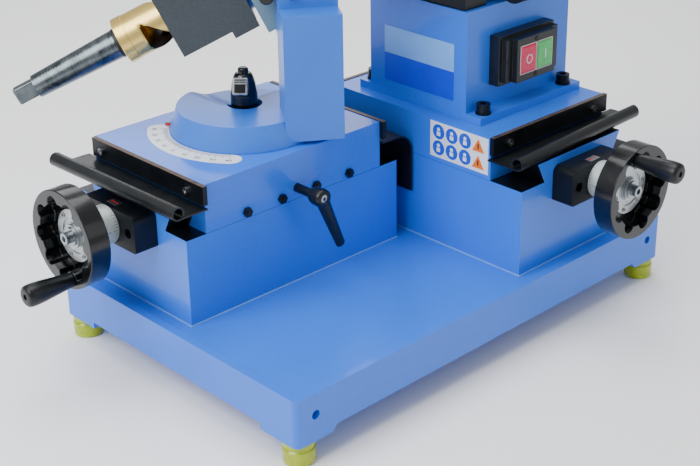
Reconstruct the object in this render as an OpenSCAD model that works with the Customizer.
// Bench drill bit grinder: two dovetail cross slides on a cast tray. The left slide carries a
// swivelling column with an inclined work spindle, the right slide a pedestal with the wheel motor.

/* [Tray] */
// Length of the tray
tray_l = 600; // [560:5:640]
// Depth of the tray
tray_d = 400; // [400:1:430]
// Height of the tray's wall
tray_h = 47; // [42:1:52]
// Height of a foot pad's underside above the bench
pad_z = 25.6; // [22:0.2:28]
// Diameter of a foot
foot_d = 34; // [30:1:40]

/* [Slides] */
// Length of each lower bed
bed_l = 308; // [300:1:312]
// Length of each upper slide
slide_l = 254; // [246:1:256]
// Width of the left bed and slide
left_w = 196; // [190:1:200]
// Width of the right bed and slide
right_w = 203; // [196:1:204]
// Height of both slides' top faces above the bench
slide_top = 232.7; // [230:0.1:236]
// Height of the male dovetail on a bed
dovetail_h = 25; // [22:0.5:26]
// Height of the lead screw axes above the bench
screw_z = 175.8; // [172:0.1:178]

/* [Handwheels] */
// Diameter of a handwheel
wheel_d = 109; // [100:1:112]
// Depth of a handwheel's rim
wheel_t = 24; // [20:1:26]
// Length of the turning grip
grip_l = 55.8; // [48:0.1:56]

/* [Work head] */
// Plan angle of the column from the left slide's axis
head_yaw = -34; // [-36:0.5:-32]
// Upward tilt of the work spindle
head_tilt = 25.34; // [24:0.02:26]
// Diameter of the clamped drill bit
drill_d = 52; // [46:0.5:52]

/* [Grinding unit] */
// Height of the grinding spindle above the bench
grind_z = 458; // [456:1:464]
// Diameter of the cup wheel
cup_d = 150; // [130:1:152]

/* [Hidden] */
$fn = 64;

// Colours
blue = [0.36, 0.56, 0.82];
grey_blue = [0.45, 0.58, 0.66];
black = [0.07, 0.08, 0.09];
steel = [0.62, 0.64, 0.66];
dark_steel = [0.22, 0.22, 0.22];
bronze = [0.66, 0.5, 0.26];
silver = [0.8, 0.81, 0.82];
gold = [0.8, 0.58, 0.18];

// Fits
fit = 0.05;      // radial running clearance of a shaft
gap = 0.3;       // clearance between curved faces
screw_play = 0.1;  // radial clearance of a screw in its hole

// Tray, measured from its front left corner
tray_z = 33;
tray_top = tray_z + tray_h;
rim_w = 10;
corner_r = 8;
recess = 2.5;
wall_t = 14;
pad_len = 55;
foot_inset = 17;
seat_z = tray_top - recess;
tapped_r = 5;
tapped_z = 55.8;
tapped_l = 16;
tapped_inset = 25.7;

// Beds: the left one runs along X, the right one along Y
left_x = 25.2;
left_y = 291.45;
right_x = 458.2;
right_y = 22.5;
left_bed_z = 177.7;
right_bed_z = 181.1;
left_rest = 26.3;      // from the bed's handwheel end to the slide
right_rest = 46.4;
foot_half = 62;        // half width of the dovetail at its foot
crest_half = 75;       // half width of the dovetail at its crest
end_wall = 22;
channel_half = 27;
channel_z = 150;
gib_t = 6.4;
gib_screw_u = [55, 104, 154, 204];
bar_v = [-76, 76];
bar_h = 21.2;
bar_t = 5.5;
lock_u = 152.9;
lock_z = 190.6;
lock_out = 38;

// Lead screws and handwheels
journal_r = 8;
thread_r = 9;
bracket_l = 28.9;
bracket_w = 96;
bracket_z0 = 154.6;
bracket_z1 = 197;
bracket_screw_v = 36;
dial_r = 21.9;
wheel_back = 62.5;
hub_hole_r = 17;
grip_pin_r = 4;
grip_axis_r = 43;
left_turn = 163;
right_turn = -14;

// Swivel and work head
swivel_x = 189.2;
swivel_y = 291.7;
column_e = [37.8, 102.5];
column_n = [18.5, 71];
column_z = [237.2, 379.3];
neck_n = [6.2, 41];
neck_top = 455;
disc_r = 85;
disc_top_r = 76.6;
disc_top = 260.7;
stud_r = 8;
axis_n = -40;
axis_z = 390.8;
spindle_r = 29;
box_s = [-88, 2];
box_half_r = 37;
box_half_n = 42;
house_s = [6.8, 50];
house_half_n = 46;
housing_points = [[50, 395], [80, 402], [50, 435]];
pin_s = 23;
pin_r = -14;

// Pedestal and grinding unit
ped_x = [374.2, 555];
ped_y = [123.5, 277.5];
ped_top = 361.3;
flange_y = [100.6, 296.3];
flange_t = 9.2;
bolt_x = [390, 534];
bolt_y = [110.6, 287];
plate_x = [430, 498];
button_z = [281, 313];
stop_x = [436.5, 462];
start_x = [465, 491];
button_y = 94;
grind_y = 201;
cup_x = 322;
motor_r = 62;
motor_x = [372, 545];
switch_x = [413, 510];
switch_z = [268, 327];
switch_y = 103;

// Drill bit, by its stations along the work spindle
tail_s = -277;
tang_half = [6.3, 9.8];

// The row's origin is under the middle of the whole machine, from the grips to the tray's far
// side and from the front grip to the drill bit's tang
reach = wheel_back + wheel_t + grip_l;
tail_x = tail_s * cos(head_tilt) - tang_half[1] * sin(head_tilt);
tail_y = swivel_y + tail_x * sin(head_yaw) + (tang_half[0] - axis_n) * cos(head_yaw);
org_x = -(left_x - reach + tray_l) / 2;
org_y = -(right_y - reach + tail_y) / 2;

// ---------------------------------------------------------------- placing

module on_tray() translate([org_x, org_y, 0]) children();

// Local u runs along the bed from its handwheel end, v across it, z from the bench
module on_left() on_tray() translate([left_x, left_y, 0]) children();
module on_right() on_tray() translate([right_x, right_y, 0]) rotate([0, 0, 90]) children();

// Local x runs along the column's face, -y towards the operator
module on_swivel() on_tray() translate([swivel_x, swivel_y, 0]) rotate([0, 0, head_yaw]) children();

// Local x runs up the work spindle towards the wheel
module on_head() on_swivel() translate([0, -axis_n, axis_z]) rotate([0, -head_tilt, 0]) children();

// A cylinder along x between two stations
module rod_x(x0, x1, r) translate([x0, 0, 0]) rotate([0, 90, 0]) cylinder(r = r, h = x1 - x0);
module rod_y(y0, y1, r) translate([0, y1, 0]) rotate([90, 0, 0]) cylinder(r = r, h = y1 - y0);
module tube_x(x0, x1, r, bore) {
    difference() {
        rod_x(x0, x1, r);
        rod_x(x0 - 1, x1 + 1, bore);
    }
}

// A block from its lowest to its highest corner
module block(a, b) translate(a) cube(b - a);

module round_plan(l, d, r) {
    union() {
        translate([r, 0]) square([l - 2 * r, d]);
        translate([0, r]) square([l, d - 2 * r]);
        for (x = [r, l - r]) for (y = [r, d - r]) translate([x, y]) circle(r = r);
    }
}

// Socket head cap screw along +z, its head's underside at z = 0
module cap_screw(shank_r, shank_l, head_r, head_h) {
    translate([0, 0, -shank_l]) cylinder(r = shank_r, h = shank_l);
    difference() {
        cylinder(r = head_r, h = head_h);
        translate([0, 0, head_h * 0.45]) cylinder(r = head_r * 0.55, h = head_h, $fn = 6);
    }
}

// ---------------------------------------------------------------- tray

module corners() {
    for (x = [0, 1]) for (y = [0, 1])
        translate([x * tray_l, y * tray_d, 0]) mirror([x, 0, 0]) mirror([0, y, 0]) children();
}

module tray_pad() {
    slope = tray_z - pad_z;
    intersection() {
        translate([0, 0, pad_z]) linear_extrude(tray_h) round_plan(tray_l, tray_d, corner_r);
        translate([0, pad_len, 0]) rotate([90, 0, 0]) linear_extrude(pad_len)
            polygon([[0, pad_z], [pad_len - slope, pad_z], [pad_len, tray_z], [pad_len, tray_z + 1], [0, tray_z + 1]]);
    }
}

module tray() {
    color(blue) on_tray() difference() {
        union() {
            translate([0, 0, tray_z]) linear_extrude(tray_h) round_plan(tray_l, tray_d, corner_r);
            corners() tray_pad();
        }
        translate([rim_w, rim_w, seat_z]) linear_extrude(tray_h)
            round_plan(tray_l - 2 * rim_w, tray_d - 2 * rim_w, 6);
        difference() {
            block([wall_t, wall_t, pad_z - 1], [tray_l - wall_t, tray_d - wall_t, seat_z - 16]);
            corners() block([0, 0, pad_z - 2], [pad_len, pad_len, tray_top]);
        }
        corners() translate([foot_inset, foot_inset, pad_z - 1]) cylinder(r = 5 + screw_play, h = 21);
        for (x = [tapped_inset, tray_l - tapped_inset])
            translate([x, 0, tapped_z]) rod_y(-1, tapped_l, tapped_r);
    }
}

module feet() {
    color([0.78, 0.8, 0.12]) on_tray() corners() translate([foot_inset, foot_inset, 0])
        rotate_extrude() polygon([
            [0, 0], [foot_d / 2 - 2, 0], [foot_d / 2, 2], [foot_d / 2, pad_z - 7],
            [foot_d / 2 - 2.5, pad_z], [5 + screw_play, pad_z], [5 + screw_play, 8], [0, 8]
        ]);
}

module foot_studs() {
    color(steel) on_tray() corners() translate([foot_inset, foot_inset, 8]) cylinder(r = 5, h = 36);
}

// ---------------------------------------------------------------- beds

module bed(w, bed_z) {
    crest_z = bed_z + dovetail_h;
    difference() {
        union() {
            block([0, -w / 2, seat_z], [bed_l, w / 2, bed_z]);
            rotate([90, 0, 90]) linear_extrude(bed_l) polygon([
                [-foot_half, bed_z - 1], [foot_half, bed_z - 1], [foot_half, bed_z],
                [crest_half, crest_z], [-crest_half, crest_z], [-foot_half, bed_z]
            ]);
        }
        block([end_wall, -channel_half, channel_z], [bed_l - end_wall, channel_half, crest_z + 1]);
        block([end_wall, -w / 2 + 20, seat_z - 1], [bed_l - end_wall, w / 2 - 20, channel_z - 18]);
        translate([0, 0, screw_z]) rod_x(-1, bed_l + 1, 12);
        for (v = [-bracket_screw_v, bracket_screw_v])
            translate([0, v, screw_z]) rod_x(-1, 18, 3 + screw_play);
    }
}

module left_bed() color(blue) on_left() bed(left_w, left_bed_z);
module right_bed() color(blue) on_right() bed(right_w, right_bed_z);

module bracket() {
    r = 9;
    half = bracket_w / 2;
    mid = (bracket_z0 + bracket_z1) / 2;
    difference() {
        rotate([90, 0, -90]) linear_extrude(bracket_l) union() {
            translate([-half, bracket_z0 + 3]) square([bracket_w, bracket_z1 - bracket_z0 - 3 - r]);
            translate([-half + r, mid]) square([bracket_w - 2 * r, bracket_z1 - mid]);
            translate([-half + 3, bracket_z0]) square([bracket_w - 6, mid - bracket_z0]);
            for (v = [-half + r, half - r]) translate([v, bracket_z1 - r]) circle(r = r);
            for (v = [-half + 3, half - 3]) translate([v, bracket_z0 + 3]) circle(r = 3);
        }
        translate([0, 0, screw_z]) rod_x(-bracket_l - 1, 1, 14);
        for (v = [-bracket_screw_v, bracket_screw_v]) translate([0, v, screw_z]) {
            rod_x(-bracket_l - 1, 1, 3.3);
            rod_x(-bracket_l - 1, -bracket_l + 12, 5.6);
        }
    }
}

module left_bracket() color(black) on_left() bracket();
module right_bracket() color(black) on_right() bracket();

module bracket_screw_pair() {
    for (v = [-bracket_screw_v, bracket_screw_v])
        translate([-bracket_l + 12, v, screw_z]) rotate([0, -90, 0]) cap_screw(3, 32, 5, 6);
}

module bracket_screws() {
    color(dark_steel) {
        on_left() bracket_screw_pair();
        on_right() bracket_screw_pair();
    }
}

module bush_set() {
    translate([0, 0, screw_z]) {
        tube_x(-bracket_l + 0.5, -0.5, 14 - fit, journal_r + fit);
        tube_x(bed_l - end_wall + 0.5, bed_l - 0.5, 12 - fit, journal_r + fit);
    }
}

module screw_bushes() {
    color(bronze) {
        on_left() bush_set();
        on_right() bush_set();
    }
}

// ---------------------------------------------------------------- handwheel sets

module lead_screw() {
    translate([0, 0, screw_z]) difference() {
        union() {
            rod_x(-wheel_back - 10, bed_l - 1, journal_r);
            rod_x(end_wall + 1, bed_l - end_wall - 1, thread_r);
        }
        rod_x(-wheel_back - 11, -wheel_back + 10, 4 + screw_play);
    }
}

module dial() translate([0, 0, screw_z]) difference() {
    union() {
        rod_x(-wheel_back + 1, -bracket_l - gap, dial_r - 0.6);
        rod_x(-wheel_back + 1.6, -bracket_l - gap - 1, dial_r);
    }
    rod_x(-wheel_back, 0, journal_r + fit);
    translate([-wheel_back + 8, 0, 12]) cylinder(r = 2, h = 12);
}

// The grip sits above or below the axis at a plan offset given by its turn
module at_grip(turn) translate([0, 0, screw_z]) rotate([turn, 0, 0]) translate([0, 0, grip_axis_r]) children();

// Where a handwheel's features lie on its face, for a turn about the lead screw
module at_face(turn, r) rotate(turn + 180) translate([r, 0]) children();

module rim_outline(turn) {
    difference() {
        circle(r = wheel_d / 2);
        difference() {
            union() {
                circle(r = 39.5);
                for (a = [20:40:340]) at_face(turn + a, 39) circle(r = 8.5);
            }
            at_face(turn, grip_axis_r) circle(r = 9);
        }
        at_face(turn, grip_axis_r) circle(r = grip_pin_r + screw_play);
    }
}

module web_outline(turn) {
    difference() {
        circle(r = wheel_d / 2);
        circle(r = hub_hole_r);
        at_face(turn, grip_axis_r) circle(r = grip_pin_r + screw_play);
    }
}

// A wave shaped rim in front of a thin web
module handwheel(turn) {
    web = 6;
    translate([-wheel_back - wheel_t, 0, screw_z]) rotate([0, 90, 0]) {
        linear_extrude(wheel_t - web) rim_outline(turn);
        translate([0, 0, wheel_t - web]) linear_extrude(web) web_outline(turn);
    }
}

module hub_plate() translate([0, 0, screw_z]) difference() {
    union() {
        rod_x(-wheel_back, -wheel_back + 0.7, 16.5);
        rod_x(-wheel_back - 6.2, -wheel_back, hub_hole_r - 0.1);
        rod_x(-wheel_back - 9, -wheel_back - 6.2, 29);
        rod_x(-wheel_back - 12, -wheel_back - 9, 13);
    }
    tube_x(-wheel_back - 10, -wheel_back - 7.4, 20, 14);
    rod_x(-wheel_back - 13, -wheel_back + 2, journal_r + fit);
}

module wheel_screws(turn) {
    translate([-wheel_back - 12.1, 0, screw_z]) rotate([0, -90, 0]) {
        cylinder(r = 10.5, h = 2);
        translate([0, 0, 2]) cap_screw(4, 22, 6.5, 7);
    }
    at_grip(turn) rod_x(-wheel_back - wheel_t - grip_l + 7, -wheel_back - 1, grip_pin_r);
}

module grip(turn) {
    outer = -wheel_back - wheel_t - grip_l;
    inner = -wheel_back - wheel_t - gap;
    at_grip(turn) rotate([0, -90, 0]) rotate_extrude() polygon([
        [grip_pin_r + fit, -inner], [7.4, -inner], [8.2, -inner + 4], [11.6, -inner + 34], [12, -inner + 44],
        [12, -outer - 1.5], [10.5, -outer], [0, -outer], [0, -outer - 6.5], [grip_pin_r + fit, -outer - 6.5]
    ]);
}

module left_lead_screw() color(steel) on_left() lead_screw();
module left_dial() color(silver) on_left() dial();
module left_handwheel() color(black) on_left() handwheel(left_turn);
module left_hub_plate() color(silver) on_left() hub_plate();
module left_wheel_screws() color(dark_steel) on_left() wheel_screws(left_turn);
module left_grip() color(black) on_left() grip(left_turn);
module right_lead_screw() color(steel) on_right() lead_screw();
module right_dial() color(silver) on_right() dial();
module right_handwheel() color(black) on_right() handwheel(right_turn);
module right_hub_plate() color(silver) on_right() hub_plate();
module right_wheel_screws() color(dark_steel) on_right() wheel_screws(right_turn);
module right_grip() color(black) on_right() grip(right_turn);

// ---------------------------------------------------------------- upper slides

module slide_body(w, bed_z, rest) {
    crest_z = bed_z + dovetail_h;
    difference() {
        block([rest, -w / 2, bed_z], [rest + slide_l, w / 2, slide_top]);
        translate([rest - 1, 0, 0]) rotate([90, 0, 90]) linear_extrude(slide_l + 2) polygon([
            [-foot_half - gib_t - 0.3, bed_z - 1], [foot_half + fit, bed_z - 1], [foot_half + fit, bed_z],
            [crest_half + 0.6, crest_z + 0.5], [crest_half + 0.6, crest_z + 0.8],
            [-crest_half - gib_t - 0.9, crest_z + 0.8], [-crest_half - gib_t - 0.9, crest_z + 0.5],
            [-foot_half - gib_t - 0.3, bed_z]
        ]);
        for (u = gib_screw_u) translate([rest + u, 0, bed_z + 7]) rod_y(-w / 2 - 1, -foot_half, 3 + screw_play);
        for (u = [rest, rest + slide_l]) for (v = bar_v)
            translate([u, v, slide_top - 10.7]) rod_x(-12, 12, 2.5 + screw_play);
    }
}

module gib(bed_z, rest) {
    lift = 0.4;
    lean = (crest_half - foot_half) / dovetail_h;
    rise = dovetail_h - 1;
    inner = -foot_half - 0.1 - lean * lift;
    difference() {
        translate([rest + 1, 0, bed_z]) rotate([90, 0, 90]) linear_extrude(slide_l - 2) polygon([
            [inner, lift], [inner - lean * rise, lift + rise],
            [inner - lean * rise - gib_t + 0.2, lift + rise], [inner - gib_t + 0.2, lift]
        ]);
        for (u = gib_screw_u) translate([rest + u, 0, bed_z + 7]) rod_y(-foot_half - 20, -foot_half - 6.9, 3.2);
    }
}

module gib_screws(w, bed_z, rest) {
    for (u = gib_screw_u) translate([rest + u, 0, bed_z + 7]) {
        rod_y(-w / 2 - 5, -foot_half - 7.2, 3);
        translate([0, -w / 2 - 0.1, 0]) rotate([90, 0, 0]) difference() {
            cylinder(r = 5.6, h = 4, $fn = 6);
            translate([0, 0, -1]) cylinder(r = 3 + screw_play, h = 6);
        }
    }
}

module feed_nut(bed_z, rest) {
    mid = rest + slide_l / 2;
    difference() {
        block([mid - 20, -22, channel_z + 8], [mid + 20, 22, bed_z + dovetail_h + 0.8]);
        translate([0, 0, screw_z]) rod_x(mid - 21, mid + 21, thread_r + fit);
    }
}

module clamp_bars(w, rest, v0, v1) {
    for (u = [rest - bar_t, rest + slide_l]) difference() {
        block([u, v0, slide_top - bar_h + 0.8], [u + bar_t, v1, slide_top + 0.8]);
        for (v = bar_v) translate([u, v, slide_top - 10.7]) rod_x(-1, bar_t + 1, 2.5 + screw_play);
    }
}

module bar_screws(rest) {
    for (v = bar_v) {
        translate([rest - bar_t, v, slide_top - 10.7]) rotate([0, -90, 0]) cap_screw(2.5, 16, 4.3, 3);
        translate([rest + slide_l + bar_t, v, slide_top - 10.7]) rotate([0, 90, 0]) cap_screw(2.5, 16, 4.3, 3);
    }
}

// Rubber sheet that leaves under the bar at the slide's handwheel end and curls back into a roll
module way_cover(rest, v0, v1, low_z) {
    roll_r = 7.9;
    sheet = 1.8;
    mid_z = low_z + roll_r;
    mid_u = rest - 38;
    translate([0, v0, 0]) rotate([90, 0, 0]) mirror([0, 0, 1]) linear_extrude(v1 - v0) difference() {
        union() {
            translate([mid_u, mid_z]) circle(r = roll_r);
            translate([mid_u, low_z]) square([rest - 0.1 - mid_u, sheet]);
        }
        translate([mid_u, mid_z]) circle(r = roll_r - sheet);
        translate([mid_u, low_z + sheet]) square([roll_r + 1, roll_r - sheet - 2.5]);
    }
}

// Rubber sheet that arches out from the slide's far end and hangs down
module hanging_cover(rest, v0, v1, low_z) {
    end = rest + slide_l;
    arc_r = 24;
    sheet = 2;
    arc_z = 208.6 - arc_r;
    arc_u = end + 24.5;
    translate([0, v0, 0]) rotate([90, 0, 0]) mirror([0, 0, 1]) linear_extrude(v1 - v0) difference() {
        union() {
            translate([arc_u, arc_z]) circle(r = arc_r);
            translate([end + 0.2, arc_z]) square([arc_u - end, arc_r]);
            translate([arc_u, low_z]) square([arc_r, arc_z - low_z]);
        }
        translate([arc_u, arc_z]) circle(r = arc_r - sheet);
        translate([end - 1, low_z - 1]) square([arc_u - end + 1, arc_z - low_z + 1 + arc_r - sheet]);
        translate([end - 1, low_z - 1]) square([arc_u - end + 1 + arc_r - sheet, arc_z - low_z + 1]);
    }
}

module left_slide() {
    color(blue) difference() {
        on_left() slide_body(left_w, left_bed_z, left_rest);
        on_swivel() translate([0, 0, slide_top - 30]) cylinder(r = stud_r + screw_play, h = 40);
        on_left() translate([lock_u, 0, lock_z]) rod_y(-left_w / 2 - 1, -foot_half - 12, 5 + fit);
    }
}
module left_gib() color(dark_steel) on_left() gib(left_bed_z, left_rest);
module left_gib_screws() color(dark_steel) on_left() gib_screws(left_w, left_bed_z, left_rest);
module left_feed_nut() color(bronze) on_left() feed_nut(left_bed_z, left_rest);
module left_clamp_bars() color(black) on_left() clamp_bars(left_w, left_rest, -103.5, 94.5);
module left_bar_screws() color(steel) on_left() bar_screws(left_rest);
module left_way_cover() color(black) on_left() way_cover(left_rest, -103.5, 111, 206.3);
module left_gap_cover() color(black) on_left() hanging_cover(left_rest, -103.5, 94.5, 133.3);

module right_slide() color(blue) on_right() slide_body(right_w, right_bed_z, right_rest);
module right_gib() color(dark_steel) on_right() gib(right_bed_z, right_rest);
module right_gib_screws() color(dark_steel) on_right() gib_screws(right_w, right_bed_z, right_rest);
module right_feed_nut() color(bronze) on_right() feed_nut(right_bed_z, right_rest);
module right_clamp_bars() color(black) on_right() clamp_bars(right_w, right_rest, -102.5, 103.5);
module right_bar_screws() color(steel) on_right() bar_screws(right_rest);
module right_way_cover() color(black) on_right() way_cover(right_rest, -118.8, 107.4, 206.8);
module right_rear_cover() color(black) on_right() hanging_cover(right_rest, -102.5, 103.5, 133.3);

// Slide lock: an indexed lever on a stud in the slide's front face
module lock_lever() {
    face = -left_w / 2;
    color(black) on_left() translate([lock_u, 0, lock_z]) {
        rod_y(face - lock_out + 8, -foot_half - 20, 5);
        difference() {
            rod_y(face - lock_out - 7, face - lock_out + 12, 10.5);
            rod_y(face - lock_out - 8, face - lock_out - 4, 5.2);
        }
        rod_y(face - lock_out - 6.5, face - lock_out - 3.9, 4.6);
        translate([0, face - lock_out - 1, 0]) rotate([0, 157, 0]) hull() {
            cylinder(r = 7.5, h = 2, $fn = 32);
            translate([0, 0, 66]) cylinder(r = 6, h = 8, $fn = 32);
        }
    }
}

// ---------------------------------------------------------------- swivel and work head

module swivel_stud() {
    color(steel) on_swivel() translate([0, 0, slide_top - 29]) cylinder(r = stud_r, h = 52);
}

module clamp_lever() {
    arm_turn = 225 - head_yaw;
    color(black) on_swivel() {
        rotate_extrude() polygon([
            [0, 256], [stud_r + fit, 256], [stud_r + fit, 243.6], [12, 243.6], [12.5, 250], [12.5, 276],
            [10.5, 292], [8.5, 297], [5.5, 297], [5.5, 303], [0, 303]
        ]);
        rotate([0, 0, arm_turn]) translate([6, 0, 279]) rotate([0, 65, 0]) cylinder(r = 6.5, h = 36);
    }
}

module swivel_column() {
    color(blue) on_swivel() difference() {
        union() {
            rotate_extrude() polygon([
                [0, slide_top + 0.1], [disc_r, slide_top + 0.1], [disc_r, slide_top + 3],
                [disc_top_r, disc_top], [0, disc_top]
            ]);
            block([column_e[0], -column_n[1], column_z[0]], [column_e[1], -column_n[0], column_z[1]]);
            block([column_e[0], -neck_n[1], 345], [column_e[1], -neck_n[0], neck_top]);
        }
        translate([0, 0, slide_top - 1]) cylinder(r = stud_r + screw_play, h = 40);
        translate([0, 0, 243.3]) cylinder(r = 20, h = 40);
        housing_holes(2.6);
    }
}

// The three screws that pull the head housing against the column's neck
module housing_holes(r) {
    for (p = housing_points)
        translate([p[0], 0, p[1]]) rod_y(-neck_n[1] - 1, -neck_n[0] + 12, r);
}

module housing_screws() {
    color(dark_steel) on_swivel() for (p = housing_points)
        translate([p[0], -neck_n[1] - 0.1, p[1]]) rotate([90, 0, 0]) cap_screw(2.5, 46, 4.3, 5);
}

module head_housing() {
    color(grey_blue) difference() {
        on_head() union() {
            block([house_s[0], -house_half_n, -56], [house_s[1], 40, 50]);
            block([house_s[0], -house_half_n, -34], [84, -house_half_n + 11, 44]);
        }
        on_head() {
            rod_x(0, 60, 34);
            translate([pin_s, 0, pin_r]) rod_y(-60, -20, 3 + fit);
        }
        on_swivel() for (p = housing_points)
            translate([p[0], 0, p[1]]) rod_y(-neck_n[0] - 1, -neck_n[0] + 12, 2.5 + screw_play);
    }
}

module spindle_bearings() {
    color(steel) on_head() {
        tube_x(9, 17, 34 - fit, spindle_r + fit);
        tube_x(36, 48, 34 - fit, spindle_r + fit);
    }
}

module index_pin() {
    color(black) on_head() translate([pin_s, 0, pin_r]) {
        rod_y(-house_half_n - 18, -28, 3);
        rod_y(-house_half_n - 19, -house_half_n - 1, 8);
    }
}

module work_spindle() {
    color(steel) on_head() {
        tube_x(box_s[1], 66, spindle_r, drill_d / 2 + 0.4);
        tube_x(box_s[1], 6.2, 36, spindle_r - 1);
        tube_x(52, 66, 32, spindle_r - 1);
    }
}

module jaw_box() {
    color(dark_steel) on_head() {
        difference() {
            block([box_s[0], -box_half_n, -box_half_r], [box_s[1], box_half_n, box_half_r]);
            block([box_s[0] + 8, -34, -28], [box_s[1] - 8, 34, 28]);
            rod_x(box_s[0] - 1, box_s[1] + 1, drill_d / 2 + 0.4);
        }
        block([-28.5, -box_half_n, -box_half_r - 8.5], [1.5, -box_half_n + 14, -box_half_r]);
    }
}

module vee_jaws() {
    v = (drill_d / 2 + fit) / sin(60);
    flank = v - 27 * tan(30);
    color(steel) on_head() for (side = [0, 1]) mirror([0, side, 0])
        translate([-78, 0, 0]) rotate([90, 0, 90]) linear_extrude(70)
            polygon([[33.9, -27], [33.9, 27], [flank, 27], [v, 0], [flank, -27]]);
}

module drill_bit() {
    body_r = drill_d / 2;
    color(gold) on_head() rotate([0, 90, 0]) rotate_extrude() polygon([
        [0, 92], [body_r, 76.4], [body_r, -132], [body_r + 0.8, -132.5], [body_r + 0.8, -143.5],
        [body_r, -144.5], [17.4, -144.5], [17.4, -149], [16.7, -149.5], [13.4, -252.5], [0, -252.5]
    ]);
    color(steel) on_head() intersection() {
        rod_x(tail_s, -252, 12);
        block([tail_s, -tang_half[0], -tang_half[1]], [-251, tang_half[0], tang_half[1]]);
    }
}

// ---------------------------------------------------------------- pedestal and grinding unit

module pedestal() {
    color(blue) on_tray() difference() {
        union() {
            block([ped_x[0], flange_y[0], slide_top], [ped_x[1], flange_y[1], slide_top + flange_t]);
            block([ped_x[0], ped_y[0], slide_top], [ped_x[1], ped_y[1], ped_top]);
        }
        block([ped_x[0] + 9, ped_y[0] + 9, slide_top - 1], [ped_x[1] - 9, ped_y[1] - 9, ped_top - 12]);
        for (x = bolt_x) for (y = bolt_y) translate([x, y, slide_top - 1]) cylinder(r = 5.5, h = 40);
        block([switch_x[0] + 12, ped_y[0] - 1, switch_z[0] + 10], [switch_x[1] - 12, ped_y[0] + 12, switch_z[1] - 10]);
    }
}

module pedestal_bolts() {
    color(black) on_tray() for (x = bolt_x) for (y = bolt_y)
        translate([x, y, slide_top + flange_t + 0.05]) {
            difference() {
                cylinder(r = 9.2, h = 2.2);
                translate([0, 0, -1]) cylinder(r = 5.2, h = 4);
            }
            translate([0, 0, 2.25]) cap_screw(5, 11.4, 8, 10);
        }
}

module switch_box() {
    color(black) on_tray() difference() {
        union() {
            block([switch_x[0], switch_y + 6, switch_z[0]], [switch_x[1], ped_y[0] - 0.05, switch_z[1]]);
            block([switch_x[0] + 6, switch_y, switch_z[0] + 4], [switch_x[1], ped_y[0] - 1, switch_z[1] - 4]);
            block([plate_x[0], button_y + 2, switch_z[0] + 3], [plate_x[1], switch_y + 1, switch_z[1] - 4]);
            block([switch_x[0] + 16, ped_y[0] - 1, switch_z[0] + 14], [switch_x[1] - 16, ped_y[0] + 24, switch_z[1] - 14]);
        }
        for (x = [stop_x, start_x])
            block([x[0] - 0.4, button_y, button_z[0] - 0.4], [x[1] + 0.4, button_y + 14, button_z[1] + 0.4]);
    }
}

module stop_button() {
    color([0.85, 0.1, 0.25]) on_tray()
        block([stop_x[0], button_y, button_z[0]], [stop_x[1], button_y + 9, button_z[1]]);
}

module start_button() {
    color([0.4, 0.8, 0.45]) on_tray()
        block([start_x[0], button_y, button_z[0]], [start_x[1], button_y + 9, button_z[1]]);
}

module on_grinder() on_tray() translate([0, grind_y, grind_z]) children();

module motor() {
    shell = 12;
    foot_y = 72;
    color(black) on_grinder() difference() {
        union() {
            rod_x(motor_x[0], motor_x[1] - 25, motor_r);
            rod_x(motor_x[1] - 25, motor_x[1], motor_r - 3);
            for (x = [376.6, 505]) block([x, -foot_y, ped_top - grind_z], [x + 35, foot_y, -30]);
        }
        rod_x(motor_x[0] + 10, motor_x[1] - 34, motor_r - shell);
        rod_x(motor_x[0] - 1, motor_x[1] - 20, 12 + fit);
    }
}

module terminal_box() {
    color(black) on_grinder() translate([424, 0, 0]) rotate([90, 0, 90]) linear_extrude(66) difference() {
        union() {
            translate([-137, -60]) square([90, 40]);
            translate([-119, -74]) square([40, 20]);
            translate([-99, -72]) circle(r = 20);
        }
        circle(r = motor_r + fit);
    }
}

module wheel_guard() {
    guard_r = 85;
    color(black) on_grinder() {
        tube_x(326, 357, guard_r, guard_r - 3);
        tube_x(354, 357, guard_r - 2, 26);
        tube_x(356, motor_x[0] - 0.1, 36, 32);
    }
}

module grinding_wheel() {
    color([0.82, 0.45, 0.42]) on_grinder() difference() {
        rod_x(cup_x, 350, cup_d / 2);
        rod_x(cup_x - 1, 338, cup_d / 2 - 25);
        rod_x(cup_x, 351, 10 + fit);
    }
}

module wheel_clamp() {
    color(steel) on_grinder() {
        tube_x(332, 337.95, 25, 10 + fit);
        tube_x(350.05, 353, 25, 10 + fit);
        difference() {
            translate([323.5, 0, 0]) rotate([0, 90, 0]) cylinder(r = 15, h = 8.4, $fn = 6);
            rod_x(322, 333, 10 + fit);
        }
    }
}

module motor_shaft() {
    color(steel) on_grinder() {
        rod_x(325, 360, 10);
        rod_x(360, motor_x[1] - 24, 12);
        rod_x(400, 490, 40);
    }
}

// ---------------------------------------------------------------- drawing

tray();
feet();
foot_studs();
left_bed();
right_bed();
left_bracket();
right_bracket();
bracket_screws();
screw_bushes();
left_lead_screw();
left_dial();
left_handwheel();
left_hub_plate();
left_wheel_screws();
left_grip();
right_lead_screw();
right_dial();
right_handwheel();
right_hub_plate();
right_wheel_screws();
right_grip();
left_slide();
left_gib();
left_gib_screws();
left_feed_nut();
left_clamp_bars();
left_bar_screws();
left_way_cover();
left_gap_cover();
lock_lever();
swivel_stud();
clamp_lever();
swivel_column();
head_housing();
housing_screws();
spindle_bearings();
index_pin();
work_spindle();
jaw_box();
vee_jaws();
drill_bit();
right_slide();
right_gib();
right_gib_screws();
right_feed_nut();
right_clamp_bars();
right_bar_screws();
right_way_cover();
right_rear_cover();
pedestal();
pedestal_bolts();
switch_box();
stop_button();
start_button();
motor();
terminal_box();
wheel_guard();
grinding_wheel();
wheel_clamp();
motor_shaft();
